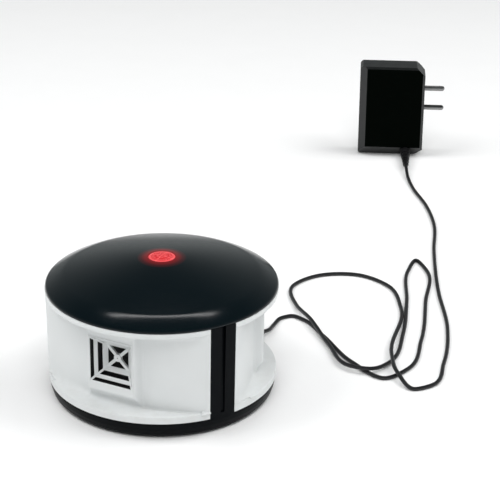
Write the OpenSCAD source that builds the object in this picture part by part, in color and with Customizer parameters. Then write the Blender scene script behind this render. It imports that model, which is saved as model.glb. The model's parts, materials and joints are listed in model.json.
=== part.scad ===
// Ultrasonic pest repeller: a round unit with three speakers that face 120 degrees
// apart, and a wall adapter on a free cord. Millimetres, +Z up, origin at the bottom
// centre of the drum. Azimuth 0 is the front speaker, facing -Y, and grows towards +X.

/* [Drum] */
// Radius of the base ring where the side wall stands on it
ring_r = 80.5; // [79:0.5:82]
// Radius of the side wall under the lid
lid_r = 82; // [81:0.5:84]
// Height of the top of the base ring
ring_top = 12.2; // [11.6:0.1:13]
// Height of the top of the side wall, where the lid sits
wall_top = 80.5; // [79:0.5:84]
// Height of the middle of the lid
dome_top = 101.5; // [100:0.5:106]
// Height of the rubber feet under the base
foot_gap = 1; // [0.8:0.1:1.4]

/* [Pillars and panels] */
// Half of the angle that a black pillar covers
pillar_half = 6.9; // [6:0.1:8]
// Width of the groove down a pillar
groove_w = 3; // [2:0.2:4]
// Distance from the axis to the middle of a recessed panel wall
panel_in = 65; // [64.5:0.25:66]
// Radius of the curve of a recessed panel wall
panel_curve = 145; // [140:1:150]
// Distance from the axis to the face of the block round a grille
pod_face = 71; // [70.5:0.25:71.5]
// Thickness of the moulded panel
panel_t = 2.2; // [1.8:0.1:2.6]

/* [Grilles] */
// Side of the square mouth of a grille
mouth = 33.5; // [33:0.5:34]
// Side of the square throat of a grille
throat = 15.8; // [15:0.2:16.4]
// Depth of the grille funnel
funnel_d = 10.4; // [10:0.2:10.8]
// Height of the middle of the grilles
grille_z = 49; // [48:0.5:50]

/* [Cord and adapter] */
// Diameter of the cord
cord_d = 3; // [2.8:0.1:3.2]
// Width of the adapter, along its pins
adapter_w = 61; // [60:1:64]
// Depth of the adapter
adapter_d = 26; // [26:1:30]
// Height of the adapter as it stands
adapter_h = 89; // [86:1:92]

/* [Hidden] */
$fn = 96;
gap = 0.1;
sides = [0, 120, 240];
pillars = [60, 180, 300];
panel_half = 60 - pillar_half - 0.1;
shell_t = 2.4;

// base ring and its inner shelf
foot_r = 76.6;
ring_in = 74;
shelf_in = 58;
shelf_t = 2.2;
plate_top = 3.4;

// lid: dome out to the shoulder, a steeper band, then a small rounded edge
shoulder_r = 68.5;
shoulder_z = wall_top + 8.5;
dome_power = 1.5;
edge_r = 2.6;
band_slope = 27;
lens_r = 9.5;
lens_t = 3.6;
lens_lip = 2;
lens_lip_t = 1.4;
lens_z = dome_top - lens_t;
led_r = 2.5;

// panel: ledge at its foot and band under the lid
ledge_z = 17.5;
band_z = wall_top - 4;
pod_foot = 27;
pod_half = 19;
pod_root = 20.5;

// screws and posts behind each pillar
post_at = 66;
post_r = 4.5;
post_top = 72;
lid_post_r = 3.6;
bolt_r = 1.5;
bolt_play = 0.05;
plate_bolt_at = 67;

// feet let into the bottom plate, and its vents
foot_at = 52;
foot_pad_r = 6;
foot_pad_t = 1.8;
vent_w = 2;
vent_l = 24;
vent_step = 6;

// main board
board_r = 46;
board_z = 17;
board_t = 1.6;
board_top = board_z + board_t;
board_bolt_at = 40;

// speakers, measured along their own axis from the drum's axis
grille_face = pod_face;
throat_at = grille_face - funnel_d;
flange_at = throat_at - 1.5;
rim_t = 0.5;
felt_t = 0.4;
// slots across a funnel: depth and width of each; ribs left on the diagonals
slots = [[rim_t, 2.5], [4.7, 3.1]];
funnel_t = 0.8;
slot_rib = 1.5;
arm_w = 2.3;
arm_t = 1.6;
boss_r = 2.8;
flange_side = 46;
flange_t = 2;
motor_r = 17;
motor_back = 44;
speaker_bolt = 20;

// power socket and plug
jack_az = 163;
jack_z = 6;
plug_out = 80.6;
plug_r = 4;
plug_body = 11;
relief_l = 12;
cord_start = plug_out + plug_body + relief_l;

// adapter, which stands upright: its near left foot in the frame of the cord
cord_yaw = 30;
adapter_at = [188.3, 458.7, 0];
adapter_yaw = -6;
adapter_wall = 2.6;
adapter_relief_at = [45, 0, 5.6];
adapter_relief_l = 34;
relief_grooves = [[8.5, 2.4], [15.4, 2.4], [21.8, 2.2], [27.6, 2]];
pin_gap = 19;
pin_r = 2.4;
pin_l = 19;
pin_z = 56.4;
pin_root = 8;

// route of the cord on the floor in the frame of the cord: out of the plug, two
// loops that cross, and on to the adapter
cord_rest = cord_d / 2;
over = cord_rest + cord_d + 0.2;
plug_dir = [sin(jack_az - cord_yaw), -cos(jack_az - cord_yaw), 0];
route_start = cord_start * plug_dir + [0, 0, jack_z];
floor_route = [
    [80, 79, 4.5], [84, 98, 1.8], [95, 111, cord_rest], [107, 103, cord_rest],
    [122, 71, cord_rest], [139, 28, cord_rest], [161, 2, cord_rest],
    [180, 17, cord_rest], [195, 61, cord_rest], [208, 130, cord_rest],
    [217, 190, cord_rest], [211, 210, cord_rest], [202, 190, cord_rest],
    [193, 130, cord_rest], [183, 74, cord_rest], [168, 28, cord_rest],
    [151, 11, over], [137, 17, over - 0.7], [124, 56, cord_rest + 1.5],
    [113.5, 95, over + 0.2], [105, 125, cord_rest + 1], [105, 162, cord_rest],
    [128, 182, cord_rest], [160, 182, cord_rest], [182, 160, cord_rest],
    [187, 120, cord_rest], [169, 32, over], [170, 4, over], [179, -15, cord_rest],
    [193, -10, cord_rest], [207, 25, cord_rest], [218, 80, cord_rest],
    [221, 150, cord_rest], [229, 230, cord_rest], [237, 285, cord_rest],
    [236, 330, cord_rest], [230, 370, cord_rest], [228.5, 396, cord_rest + 1],
];
// direction away from the adapter's face, and the end of its strain relief
face_dir = [sin(adapter_yaw), -cos(adapter_yaw), 0];
route_end = adapter_at + adapter_relief_at[0] * [cos(adapter_yaw), sin(adapter_yaw), 0]
    + adapter_relief_l * face_dir + [0, 0, adapter_relief_at[2]];
route = concat([route_start], floor_route, [route_end]);
steps_per_span = 2;
cord_sides = 8;

// radius of the slightly flared side wall at height z
function side_r(z) = ring_r + (lid_r - ring_r) * (z - ring_top) / (wall_top - ring_top);
// height of the dome at radius r
function dome_z(r) =
    shoulder_z + (dome_top - shoulder_z) * (1 - pow(r / shoulder_r, dome_power));
// point on the side at azimuth a and radius r
function at_az(a, r) = [r * sin(a), -r * cos(a)];

// slice of the round body between two azimuths
module slice(a0, a1, z0, z1) {
    far = 120;
    mid = (a0 + a1) / 2;
    translate([0, 0, z0]) linear_extrude(z1 - z0)
        polygon([[0, 0], at_az(a0, far), at_az(mid, far * 1.2), at_az(a1, far)]);
}

// round body between two heights, inset by d from the flared side wall
module side_body(z0, z1, d = 0) {
    rotate_extrude() polygon([
        [0, z0], [side_r(z0) - d, z0], [side_r(z1) - d, z1], [0, z1],
    ]);
}

// turn a child made for the front speaker to azimuth a
module turned(a) { rotate([0, 0, a]) children(); }

// cylinder that lies along a speaker's axis between distances n0 and n1
module axial(n0, n1, r, r2 = -1) {
    translate([0, -n0, grille_z]) rotate([90, 0, 0])
        cylinder(h = n1 - n0, r1 = r, r2 = r2 < 0 ? r : r2);
}

// ---------- lid and light ----------

dome_steps = 20;
dome_line = [for (i = [0:dome_steps]) let (r = shoulder_r * i / dome_steps) [r, dome_z(r)]];
edge_line = [for (a = [90 - band_slope:-9:0])
    [lid_r - edge_r + edge_r * cos(a), wall_top + 1.2 + edge_r * sin(a)]];

module lid_solid(d = 0) {
    translate([0, 0, -d]) rotate_extrude() difference() {
        polygon(concat([[0, wall_top - 4]], dome_line, edge_line, [[lid_r, wall_top - 4]]));
        translate([lid_r - d, 0]) square([d + 1, dome_top]);
    }
}

module lid() color([0.07, 0.08, 0.085]) difference() {
    union() {
        intersection() {
            difference() {
                lid_solid();
                lid_solid(shell_t);
            }
            translate([0, 0, wall_top]) cylinder(h = 40, r = lid_r + 1);
        }
        intersection() {
            lid_solid(shell_t / 2);
            for (a = pillars) turned(a) translate([0, -post_at, post_top + gap])
                cylinder(h = 30, r = lid_post_r);
        }
    }
    translate([0, 0, lens_z - 8]) cylinder(h = 20, r = lens_r + 0.2);
    for (a = pillars) turned(a) translate([0, -post_at, post_top - 1])
        cylinder(h = 12, r = bolt_r);
}

module lens() color([0.85, 0.08, 0.1]) translate([0, 0, lens_z]) {
    cylinder(h = lens_t, r = lens_r);
    translate([0, 0, -lens_lip_t]) cylinder(h = lens_lip_t, r = lens_r + lens_lip);
}

module led_holder() color([0.08, 0.08, 0.08]) translate([0, 0, lens_z]) difference() {
    union() {
        translate([0, 0, -3.4]) cylinder(h = 1.9, r = lens_r + lens_lip);
        translate([0, 0, -12.4]) cylinder(h = 9, r = 6);
    }
    translate([0, 0, -13]) cylinder(h = 13, r = led_r + gap);
    translate([0, 0, -7.4]) cylinder(h = 7, r1 = led_r + gap, r2 = lens_r - 0.5);
}

module led() color([0.9, 0.15, 0.15]) translate([0, 0, lens_z]) {
    translate([0, 0, -12.5]) cylinder(h = 4.3, r = led_r);
    translate([0, 0, -8.2]) sphere(r = led_r);
    translate([0, 0, -13.5]) cylinder(h = 1, r = led_r + 0.4);
    for (x = [-1.27, 1.27]) translate([x, 0, -22]) cylinder(h = 8.5, r = 0.3);
}

// ---------- black base with its pillars ----------

module base_frame() color([0.08, 0.085, 0.09]) difference() {
    union() {
        rotate_extrude() polygon([
            [ring_in, foot_gap], [foot_r, foot_gap], [foot_r + 2.2, foot_gap + 2.2],
            [ring_r - 0.5, foot_gap + 6], [ring_r, ring_top - 2], [ring_r, ring_top],
            [shelf_in, ring_top], [shelf_in, ring_top - shelf_t],
            [ring_in, ring_top - shelf_t],
        ]);
        for (a = pillars) {
            intersection() {
                side_body(ring_top, wall_top - gap / 2);
                slice(a - pillar_half, a + pillar_half, 0, wall_top);
                difference() {
                    cylinder(h = 100, r = 90);
                    side_body(0, 100, 5);
                }
            }
            turned(a) translate([0, -post_at, plate_top + gap])
                cylinder(h = post_top - plate_top - gap, r = post_r);
            turned(a) translate([-1, -77, ring_top])
                cube([2, 8, post_top - ring_top - 3]);
        }
        for (a = sides) turned(a) translate([0, -plate_bolt_at, plate_top + gap])
            cylinder(h = ring_top - plate_top - gap, r = 3.4);
    }
    for (a = pillars) {
        turned(a) translate([-groove_w / 2, -90, ring_top + 3])
            cube([groove_w, 90 - side_r(50) + 1.8, wall_top]);
        turned(a) translate([0, -post_at, 0]) cylinder(h = post_top - 4, r = 3);
        turned(a) translate([0, -post_at, 0]) cylinder(h = 100, r = bolt_r + 0.2);
    }
    for (a = sides) turned(a) translate([0, -plate_bolt_at, 0])
        cylinder(h = 10, r = bolt_r);
    turned(jack_az) translate([0, -72, jack_z]) rotate([90, 0, 0])
        cylinder(h = 20, r = 3.4);
}

module bottom_plate() color([0.1, 0.1, 0.105]) difference() {
    union() {
        translate([0, 0, foot_gap]) cylinder(h = plate_top - foot_gap, r = ring_in - 0.2);
        for (a = sides) turned(a) translate([0, -board_bolt_at, plate_top - 1])
            cylinder(h = board_z - plate_top + 1 - gap, r = 3);
    }
    for (a = sides) turned(a) {
        translate([0, -board_bolt_at, board_z - 9]) cylinder(h = 20, r = 1.25);
        translate([0, -plate_bolt_at, -1]) cylinder(h = 10, r = bolt_r + 0.2);
        translate([0, -plate_bolt_at, foot_gap - 1]) cylinder(h = 2.2, r = 3.1);
        translate([0, -foot_at, foot_gap - 1])
            cylinder(h = foot_pad_t, r = foot_pad_r + 0.2);
    }
    for (a = pillars) turned(a) translate([0, -post_at, -1]) cylinder(h = 10, r = 3);
    for (i = [-3:3]) translate([i * vent_step - vent_w / 2, -vent_l / 2, 0])
        cube([vent_w, vent_l, 10]);
}

module foot(a) color([0.13, 0.13, 0.13]) turned(a) translate([0, -foot_at, 0])
    cylinder(h = foot_pad_t - gap, r = foot_pad_r);
module foot_front() foot(0);
module foot_right() foot(120);
module foot_left() foot(240);

// pan-head screw along +Z with its head's top at the origin, pointing up
module screw(length, r, head_r, head_h) {
    translate([0, 0, head_h]) cylinder(h = length, r = r, $fn = 32);
    difference() {
        cylinder(h = head_h, r = head_r, $fn = 32);
        translate([-head_r * 0.6, -0.3, -1]) cube([head_r * 1.2, 0.6, 1.7]);
        translate([-0.3, -head_r * 0.6, -1]) cube([0.6, head_r * 1.2, 1.7]);
    }
}

module lid_screws() color([0.7, 0.7, 0.72]) for (a = pillars)
    turned(a) translate([0, -post_at, post_top - 6.1])
        screw(13.6, bolt_r - bolt_play, 2.7, 2);

module plate_screws() color([0.7, 0.7, 0.72]) for (a = sides)
    turned(a) translate([0, -plate_bolt_at, foot_gap - 0.3])
        screw(7.4, bolt_r - bolt_play, 2.9, 1.4);

// ---------- white panels ----------

// everything outside the curve of the recessed wall, moved in by d
module outside_wall(z0, z1, d = 0) {
    difference() {
        translate([0, 0, z0]) cylinder(h = z1 - z0, r = 100);
        translate([0, panel_curve - panel_in, z0 - 1])
            cylinder(h = z1 - z0 + 2, r = panel_curve - d, $fn = 180);
    }
}

// block that carries the grille: its sides lean, its underside runs back to the ledge
module pod() intersection() {
    linear_extrude(wall_top) polygon([
        [-pod_root, -50], [-pod_root, 2 - panel_in], [-pod_half, -pod_face],
        [pod_half, -pod_face], [pod_root, 2 - panel_in], [pod_root, -50],
    ]);
    translate([-50, 0, 0]) rotate([90, 0, 90]) linear_extrude(100) polygon([
        [-50, ledge_z], [2 - panel_in, ledge_z], [-pod_face, pod_foot],
        [-pod_face, band_z + 1], [-50, band_z + 1],
    ]);
}

module panel_body() difference() {
    union() {
        intersection() {
            side_body(ring_top + gap, wall_top - gap);
            slice(-panel_half, panel_half, 0, wall_top);
            outside_wall(0, wall_top, panel_t);
        }
        for (x = [-speaker_bolt, speaker_bolt], z = [-speaker_bolt, speaker_bolt])
            translate([x, 0, z]) axial(flange_at + gap, panel_in - 3, 2.6);
    }
    // recess between the ledge and the band under the lid, round the block
    difference() {
        outside_wall(ledge_z, band_z);
        pod();
    }
    // square opening for the grille
    translate([-mouth / 2 - 0.9, -90, grille_z - mouth / 2 - 0.9])
        cube([mouth + 1.8, 40, mouth + 1.8]);
    for (x = [-speaker_bolt, speaker_bolt], z = [-speaker_bolt, speaker_bolt])
        translate([x, 0, z]) axial(flange_at - 1, flange_at + 3.4, 1);
}

module panel(a) color([0.86, 0.87, 0.87]) turned(a) panel_body();
module panel_front() panel(0);
module panel_right() panel(120);
module panel_left() panel(240);

// ---------- louvred funnel grilles ----------

// square frustum from the mouth at the front to the throat, grown by d
module frustum(d, z0, z1) {
    translate([0, 0, z0]) linear_extrude(z1 - z0, scale = (throat + 2 * d) / (mouth + 2 * d))
        square(mouth + 2 * d, center = true);
}

// the grille stands with its mouth at z = 0 and its throat at z = funnel_d
module grille_upright() difference() {
    union() {
        difference() {
            union() {
                frustum(funnel_t, 0, funnel_d);
                translate([-mouth / 2 - 0.7, -mouth / 2 - 0.7, 0])
                    cube([mouth + 1.4, mouth + 1.4, rim_t]);
            }
            translate([0, 0, -0.01]) frustum(0, 0, funnel_d + 0.02);
            // two rings of slots, kept apart by ribs on the diagonals
            for (slot = slots) difference() {
                translate([-30, -30, slot[0]]) cube([60, 60, slot[1]]);
                for (a = [45, -45]) rotate([0, 0, a])
                    translate([-40, -slot_rib / 2, -1]) cube([80, slot_rib, funnel_d + 2]);
            }
        }
        // four arms to the corners of the throat, and the boss between them
        intersection() {
            for (a = [45, -45]) rotate([0, 0, a])
                translate([-40, -arm_w / 2, funnel_d - 0.6]) cube([80, arm_w, arm_t]);
            translate([-throat / 2 - 0.6, -throat / 2 - 0.6, 0])
                cube([throat + 1.2, throat + 1.2, 20]);
        }
        translate([0, 0, funnel_d - 1.2]) cylinder(h = arm_t + 0.6, r = boss_r, $fn = 40);
    }
    translate([0, 0, funnel_d - 3]) cylinder(h = 2.6, r = 0.6, $fn = 24);
}

module grille(a) color([0.84, 0.85, 0.85]) turned(a)
    translate([0, -grille_face, grille_z]) rotate([-90, 0, 0]) grille_upright();
module grille_front() grille(0);
module grille_right() grille(120);
module grille_left() grille(240);

// square sleeve of felt round a funnel, from the speaker's flange to the rim
module felt(a) color([0.06, 0.06, 0.06]) turned(a)
    translate([0, -flange_at - gap, grille_z]) rotate([90, 0, 0])
        linear_extrude(grille_face - rim_t - flange_at - 2 * gap) difference() {
            square(mouth + 1.7, center = true);
            square(mouth + 1.7 - 2 * felt_t, center = true);
        }
module felt_front() felt(0);
module felt_right() felt(120);
module felt_left() felt(240);

// ---------- speakers ----------

module speaker(a) color([0.15, 0.15, 0.16]) turned(a) difference() {
    union() {
        translate([-flange_side / 2, -flange_at, grille_z - flange_side / 2])
            cube([flange_side, flange_t, flange_side]);
        axial(motor_back, flange_at - 1, motor_r);
    }
    axial(motor_back + 2, flange_at + 1, motor_r - 2);
    for (x = [-speaker_bolt, speaker_bolt], z = [-speaker_bolt, speaker_bolt])
        translate([x, 0, z]) axial(50, 60, 1.3);
    for (x = [-5, 5]) translate([x, 0, 0]) axial(40, 50, 0.8);
}
module speaker_front() speaker(0);
module speaker_right() speaker(120);
module speaker_left() speaker(240);

// shallow cone diaphragm glued round its rim
module cone(a) color([0.12, 0.12, 0.12]) turned(a) difference() {
    axial(flange_at - 7, flange_at - 1.2, 3.5, motor_r - 2.2);
    axial(flange_at - 6.6, flange_at - 1.1, 3.2, motor_r - 2.4);
}
module cone_front() cone(0);
module cone_right() cone(120);
module cone_left() cone(240);

module piezo(a) color([0.8, 0.65, 0.3]) turned(a) {
    axial(flange_at - 8, flange_at - 7.4, 10);
    axial(flange_at - 7.4, flange_at - 7.05, 8);
}
module piezo_front() piezo(0);
module piezo_right() piezo(120);
module piezo_left() piezo(240);

module speaker_screws() color([0.7, 0.7, 0.72]) for (a = sides) turned(a)
    for (x = [-speaker_bolt, speaker_bolt], z = [-speaker_bolt, speaker_bolt])
        translate([x, -flange_at + flange_t + 1.3, grille_z + z]) rotate([90, 0, 0])
            screw(5.2, 0.95, 2, 1.2);

// a pair of leads from each speaker's back down to the board
module speaker_leads() color([0.6, 0.1, 0.1]) for (a = sides) turned(a)
    for (x = [-5, 5]) {
        translate([x, -motor_back - 1.8, grille_z]) rotate([-90, 0, 0])
            cylinder(h = 4.8, r = 0.6, $fn = 24);
        translate([x, -motor_back + 3, board_top + gap])
            cylinder(h = grille_z - board_top - gap, r = 0.6, $fn = 24);
        translate([x, -motor_back + 3, grille_z]) sphere(r = 0.6, $fn = 24);
    }

// ---------- electronics ----------

module circuit_board() color([0.12, 0.4, 0.2]) difference() {
    translate([0, 0, board_z]) cylinder(h = board_t, r = board_r);
    for (a = sides) turned(a) translate([0, -board_bolt_at, 0])
        cylinder(h = 40, r = 1.6);
}

module board_screws() color([0.7, 0.7, 0.72]) for (a = sides) turned(a)
    translate([0, -board_bolt_at, board_top + 1.6]) rotate([180, 0, 0])
        screw(9, 1.2, 2.4, 1.5);

module driver_transformer() color([0.3, 0.3, 0.32]) translate([-12, 8, board_top + gap]) {
    difference() {
        translate([-11, -9, 0]) cube([22, 18, 14]);
        for (y = [-6.5, 2.5]) translate([-12, y, 3]) cube([24, 4, 8]);
    }
    for (x = [-12.4, 11]) translate([x, -7, 2]) cube([1.4, 14, 10]);
}

module capacitors() color([0.1, 0.15, 0.35]) for (c = [[16, 14, 5, 15], [18, -6, 4, 12],
        [8, -18, 4, 12], [-14, -20, 3.2, 11]])
    translate([c[0], c[1], board_top + gap]) difference() {
        cylinder(h = c[3], r = c[2]);
        translate([0, 0, 1.6]) difference() {
            cylinder(h = 0.7, r = c[2] + 1);
            translate([0, 0, -1]) cylinder(h = 3, r = c[2] - 0.35);
        }
    }

module timer_chip() color([0.1, 0.1, 0.1]) translate([-2, -10, board_top]) {
    translate([-5, -3.2, 0.6]) cube([10, 6.4, 3.3]);
    for (i = [-1.5:1.5], y = [-3.9, 3.2]) translate([i * 2.54 - 0.35, y, gap])
        cube([0.7, 0.7, 2.4]);
}

module transistors() color([0.13, 0.13, 0.13]) for (a = [30, 90, 210])
    turned(a) translate([0, -30, board_top]) {
        translate([-5, -2.2, 4]) cube([10, 4.4, 9]);
        translate([-5, 0.9, 13]) cube([10, 1.3, 1.6]);
        for (x = [-2.54, 0, 2.54]) translate([x - 0.4, -0.3, gap]) cube([0.8, 0.6, 4]);
    }

module resistors() color([0.75, 0.62, 0.42]) for (i = [0:5])
    turned(255 + i * 9) translate([0, -32, board_top + 1.5 + gap]) rotate([90, 0, 0]) {
        translate([0, 0, -3.2]) cylinder(h = 6.4, r = 1.2, $fn = 32);
        translate([0, 0, -4.6]) cylinder(h = 9.2, r = 0.3, $fn = 24);
    }

// ---------- power socket, plug and cord ----------

// cylinder along the socket's axis from radius n0 to n1 of the drum
module socket_axis(n0, n1, r, r2 = -1) {
    turned(jack_az) translate([0, -n0, jack_z]) rotate([90, 0, 0])
        cylinder(h = n1 - n0, r1 = r, r2 = r2 < 0 ? r : r2, $fn = 48);
}

module power_socket() color([0.05, 0.05, 0.05]) difference() {
    union() {
        turned(jack_az) translate([-4.5, -73.8, plate_top + gap]) cube([9, 14, 6.7]);
        socket_axis(73, 79, 3.3);
    }
    socket_axis(63, 80, 2.85);
}

module power_plug() color([0.06, 0.06, 0.06]) difference() {
    union() {
        socket_axis(66, plug_out + 1, 2.75);
        socket_axis(plug_out, plug_out + plug_body, plug_r);
        socket_axis(plug_out + plug_body, cord_start, 3.3, 1.9);
    }
    socket_axis(65, 76, 1.3);
    for (i = [0:2]) difference() {
        socket_axis(plug_out + plug_body + 2.5 + i * 3, plug_out + plug_body + 3.7 + i * 3, 5);
        socket_axis(plug_out + plug_body, cord_start, 2.6, 1.6);
    }
}

// the route's phantom ends keep the cord straight where it enters a relief
lead_in = 30;
all_points = concat([route_start - lead_in * plug_dir], route, [route_end - lead_in * face_dir]);

// direction of the route at point i, from its two neighbours weighted by distance
function heading(i) =
    let (a = all_points[i] - all_points[i - 1], b = all_points[i + 1] - all_points[i],
         la = norm(a), lb = norm(b))
    (a * lb / la + b * la / lb) / (la + lb);

// smooth curve from point i to the next, t from 0 to 1
function on_route(i, t) =
    let (p = all_points[i], q = all_points[i + 1], l = norm(q - p),
         m = heading(i) * l, n = heading(i + 1) * l)
    p * (2 * t * t * t - 3 * t * t + 1) + m * (t * t * t - 2 * t * t + t)
    + q * (3 * t * t - 2 * t * t * t) + n * (t * t * t - t * t);

// the cord never dips below its rest on the floor
function laid(p) = [p[0], p[1], max(p[2], cord_rest)];

spans = len(route) - 1;
line = concat(
    [for (i = [1:spans], k = [0:steps_per_span - 1]) laid(on_route(i, k / steps_per_span))],
    [route_end]);

function unit(v) = v / norm(v);
function along(i) =
    i == 0 ? plug_dir : i == len(line) - 1 ? -face_dir : unit(line[i + 1] - line[i - 1]);
function across(i) = unit(cross(along(i), [0, 0, 1]));

// tube of eight flats swept along the line, closed by a flat face at each end
module cord() color([0.05, 0.05, 0.05]) rotate([0, 0, cord_yaw]) {
    n = len(line);
    s = cord_sides;
    points = [for (i = [0:n - 1], k = [0:s - 1])
        let (u = across(i), v = cross(u, along(i)), a = 360 * k / s + 180 / s)
        line[i] + cord_d / 2 * (cos(a) * u + sin(a) * v)];
    skin = [for (i = [0:n - 2], k = [0:s - 1])
        [i * s + k, (i + 1) * s + k, (i + 1) * s + (k + 1) % s, i * s + (k + 1) % s]];
    start = [[for (k = [0:s - 1]) k]];
    end = [[for (k = [s - 1:-1:0]) (n - 1) * s + k]];
    polyhedron(points, concat(skin, start, end), convexity = 20);
}

// ---------- wall adapter ----------

// local frame: x along the pins, y away from the face with the cord, z up
module adapter_frame() {
    rotate([0, 0, cord_yaw]) translate(adapter_at) rotate([0, 0, adapter_yaw]) children();
}

// rectangle with its four corners cut by c, from the low left corner round
function cut_corners(x, y, c) = [
    [c[0], 0], [x - c[1], 0], [x, c[1]], [x, y - c[2]],
    [x - c[2], y], [c[3], y], [0, y - c[3]], [0, c[0]],
];

// block with wide bevels round its near face and cut corners on the pin side,
// smaller by d all round
module adapter_block(d) {
    w = adapter_w - 2 * d;
    l = adapter_d - 2 * d;
    h = adapter_h - 2 * d;
    k = 0.6 * d * [1, 1, 1, 1];
    translate([d, d, d]) intersection() {
        translate([0, l, 0]) rotate([90, 0, 0]) linear_extrude(l)
            polygon(cut_corners(w, h, [2, 7, 8, 2.5] - k));
        linear_extrude(h) polygon(cut_corners(w, l, [6.5, 2.5, 3, 3] - k));
        rotate([90, 0, 90]) linear_extrude(w)
            polygon(cut_corners(l, h, [10, 2, 2.5, 2] - k));
    }
}

adapter_split = adapter_d / 2;
adapter_bosses = [[9, 13], [51, 15], [9, 76], [49, 76]];

module adapter_shell() difference() {
    union() {
        difference() {
            adapter_block(0);
            adapter_block(adapter_wall);
        }
        for (b = adapter_bosses) translate([b[0], adapter_d - 1, b[1]])
            rotate([90, 0, 0]) cylinder(h = adapter_d - 2, r = 3, $fn = 48);
    }
    for (b = adapter_bosses) translate([b[0], adapter_d + 1, b[1]]) rotate([90, 0, 0]) {
        cylinder(h = adapter_d - 3, r = 1.3, $fn = 48);
        cylinder(h = 4.5, r = 2.7, $fn = 48);
    }
    for (z = [-pin_gap / 2, pin_gap / 2])
        translate([adapter_w - pin_root - 2, adapter_split, pin_z + z])
            rotate([0, 90, 0]) cylinder(h = 20, r = pin_r + 0.1, $fn = 48);
    translate([adapter_relief_at[0], -1, adapter_relief_at[2]]) rotate([-90, 0, 0])
        cylinder(h = 9, r = 2.5, $fn = 48);
}

module adapter_half(y0, y1) adapter_frame() intersection() {
    adapter_shell();
    translate([-1, y0, -1]) cube([adapter_w + 2, y1 - y0, adapter_h + 2]);
}

module adapter_front_shell() color([0.06, 0.065, 0.065])
    adapter_half(-1, adapter_split - gap / 2);
module adapter_back_shell() color([0.06, 0.065, 0.065])
    adapter_half(adapter_split + gap / 2, adapter_d + 1);

module adapter_screws() color([0.7, 0.7, 0.72]) adapter_frame()
    for (b = adapter_bosses) translate([b[0], adapter_d - 1, b[1]]) rotate([90, 0, 0])
        screw(17, 1.2, 2.5, 1.6);

module adapter_pins() color([0.75, 0.75, 0.74]) adapter_frame()
    for (z = [-pin_gap / 2, pin_gap / 2])
        translate([adapter_w - pin_root, adapter_split, pin_z + z]) rotate([0, 90, 0]) {
            cylinder(h = pin_root + pin_l - pin_r, r = pin_r, $fn = 48);
            translate([0, 0, pin_root + pin_l - pin_r]) sphere(r = pin_r, $fn = 48);
        }

// ribbed sleeve that ends flat against the housing, with a neck that goes inside
module adapter_relief() color([0.05, 0.05, 0.05]) adapter_frame() {
    difference() {
        translate(adapter_relief_at) rotate([90, 0, 0]) difference() {
            union() {
                translate([0, 0, -8]) cylinder(h = 8.1, r = 4.8, $fn = 48);
                cylinder(h = adapter_relief_l, r1 = 4.8, r2 = 2.6, $fn = 48);
            }
            for (g = relief_grooves) translate([0, 0, g[0]]) difference() {
                cylinder(h = g[1], r = 6, $fn = 48);
                translate([0, 0, -1]) cylinder(h = 5, r = 2.3, $fn = 48);
            }
        }
        adapter_block(0);
    }
    translate(adapter_relief_at) rotate([90, 0, 0]) translate([0, 0, -7])
        cylinder(h = 8, r = 2.4, $fn = 48);
}

module adapter_core() color([0.45, 0.45, 0.47]) adapter_frame() difference() {
    translate([10, 4, 30]) cube([30, 17, 36]);
    for (x = [15, 29]) translate([x, 3, 36]) cube([6, 19, 24]);
}

module adapter_coil() color([0.7, 0.5, 0.15]) adapter_frame() difference() {
    translate([15.2, 3.2, 36.2]) cube([19.6, 18.6, 23.6]);
    translate([21 - gap, 4 - gap, 30]) cube([8 + 2 * gap, 17 + 2 * gap, 36]);
}

module adapter_rectifier() color([0.55, 0.4, 0.2]) adapter_frame() {
    translate([14, 5, 16]) cube([28, 16, 1.6]);
    translate([20, 13, 17.5]) cylinder(h = 10, r = 4.5, $fn = 48);
    for (x = [28, 33, 38]) translate([x, 9, 17.5]) cube([2.4, 6, 2.4]);
}

lid();
lens();
led_holder();
led();
base_frame();
bottom_plate();
foot_front();
foot_right();
foot_left();
lid_screws();
plate_screws();
panel_front();
panel_right();
panel_left();
grille_front();
grille_right();
grille_left();
felt_front();
felt_right();
felt_left();
speaker_front();
speaker_right();
speaker_left();
cone_front();
cone_right();
cone_left();
piezo_front();
piezo_right();
piezo_left();
speaker_screws();
speaker_leads();
circuit_board();
board_screws();
driver_transformer();
capacitors();
timer_chip();
transistors();
resistors();
power_socket();
power_plug();
cord();
adapter_relief();
adapter_front_shell();
adapter_back_shell();
adapter_pins();
adapter_core();
adapter_coil();
adapter_rectifier();
adapter_screws();
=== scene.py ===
import json
import math

import bpy
import numpy as np
from mathutils import Matrix, Vector


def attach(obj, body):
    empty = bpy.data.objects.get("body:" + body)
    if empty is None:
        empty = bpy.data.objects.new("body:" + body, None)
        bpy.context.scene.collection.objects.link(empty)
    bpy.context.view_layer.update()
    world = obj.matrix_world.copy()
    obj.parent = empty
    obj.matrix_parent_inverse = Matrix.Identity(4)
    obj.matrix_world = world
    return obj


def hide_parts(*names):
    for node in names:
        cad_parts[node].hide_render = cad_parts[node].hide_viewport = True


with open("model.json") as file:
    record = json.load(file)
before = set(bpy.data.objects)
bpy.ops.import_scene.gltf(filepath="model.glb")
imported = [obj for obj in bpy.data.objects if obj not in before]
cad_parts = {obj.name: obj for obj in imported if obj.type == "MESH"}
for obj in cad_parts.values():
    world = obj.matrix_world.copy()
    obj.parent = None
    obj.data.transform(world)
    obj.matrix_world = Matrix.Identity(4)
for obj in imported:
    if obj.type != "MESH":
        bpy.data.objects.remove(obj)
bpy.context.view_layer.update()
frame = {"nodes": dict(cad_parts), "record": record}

# The look of a round ultrasonic pest repeller: a black lid over three recessed white panels with
# louvred speakers, and a wall adapter on a free cord. Shapes are worked out in millimetres, in the
# part's own frame, and written to the meshes in metres.

MM = 0.001


def degrees(*angles):
    return [math.radians(a) for a in angles]


# ---------------------------------------------------------------- where the adapter stands

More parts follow.
